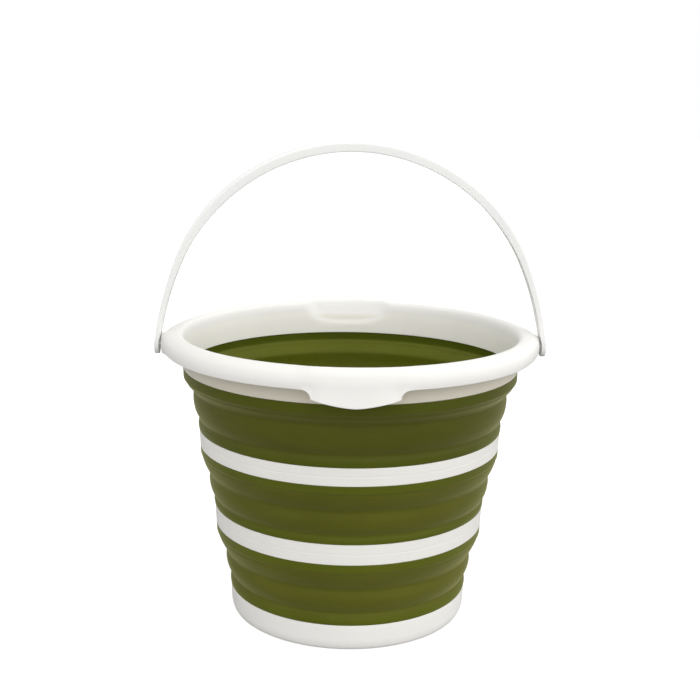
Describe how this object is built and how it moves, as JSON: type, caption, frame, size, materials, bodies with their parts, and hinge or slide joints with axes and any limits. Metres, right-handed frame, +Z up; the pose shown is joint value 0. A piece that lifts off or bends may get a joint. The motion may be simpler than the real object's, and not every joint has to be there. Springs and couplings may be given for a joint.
{
  "type": "collapsible bucket",
  "caption": "Round folding bucket: stiff white rim, rings and foot joined by soft olive bands, with a swinging bail handle and pouring lips.",
  "frame": {"origin": "on the ground at the centre of the foot, the bucket open", "axes": "+Z up along the bucket's axis; -Y towards the front pouring lip; X along the handle's hinge line"},
  "size_m": [0.338, 0.3224, 0.4112],
  "materials": {
    "rim_white": "satin white polypropylene",
    "handle_white": "satin white polypropylene",
    "ring_white": "satin white polypropylene",
    "base_white": "satin white polypropylene",
    "band_olive": "matte olive thermoplastic rubber"
  },
  "bodies": {
    "foot": {"base": "base_white", "lower_band": "band_olive"},
    "lower_stage": {"lower_ring": "ring_white", "middle_band": "band_olive"},
    "upper_stage": {"upper_ring": "ring_white", "upper_band": "band_olive"},
    "rim_body": {"rim": "rim_white"},
    "bail": {"handle": "handle_white"}
  },
  "joints": [
    {"name": "lower_fold", "type": "slide", "parent": "foot", "child": "lower_stage", "axis": [0, 0, 1], "range_m": [-0.063, 0], "deforming": ["lower_band"]},
    {"name": "middle_fold", "type": "slide", "parent": "lower_stage", "child": "upper_stage", "axis": [0, 0, 1], "range_m": [-0.063, 0], "deforming": ["middle_band"]},
    {"name": "upper_fold", "type": "slide", "parent": "upper_stage", "child": "rim_body", "axis": [0, 0, 1], "range_m": [-0.063, 0], "deforming": ["upper_band"]},
    {"name": "handle_swing", "type": "hinge", "parent": "rim_body", "child": "bail", "pos_m": [0, 0, 0.2362], "axis": [1, 0, 0], "range_deg": [-98, 92]}
  ]
}
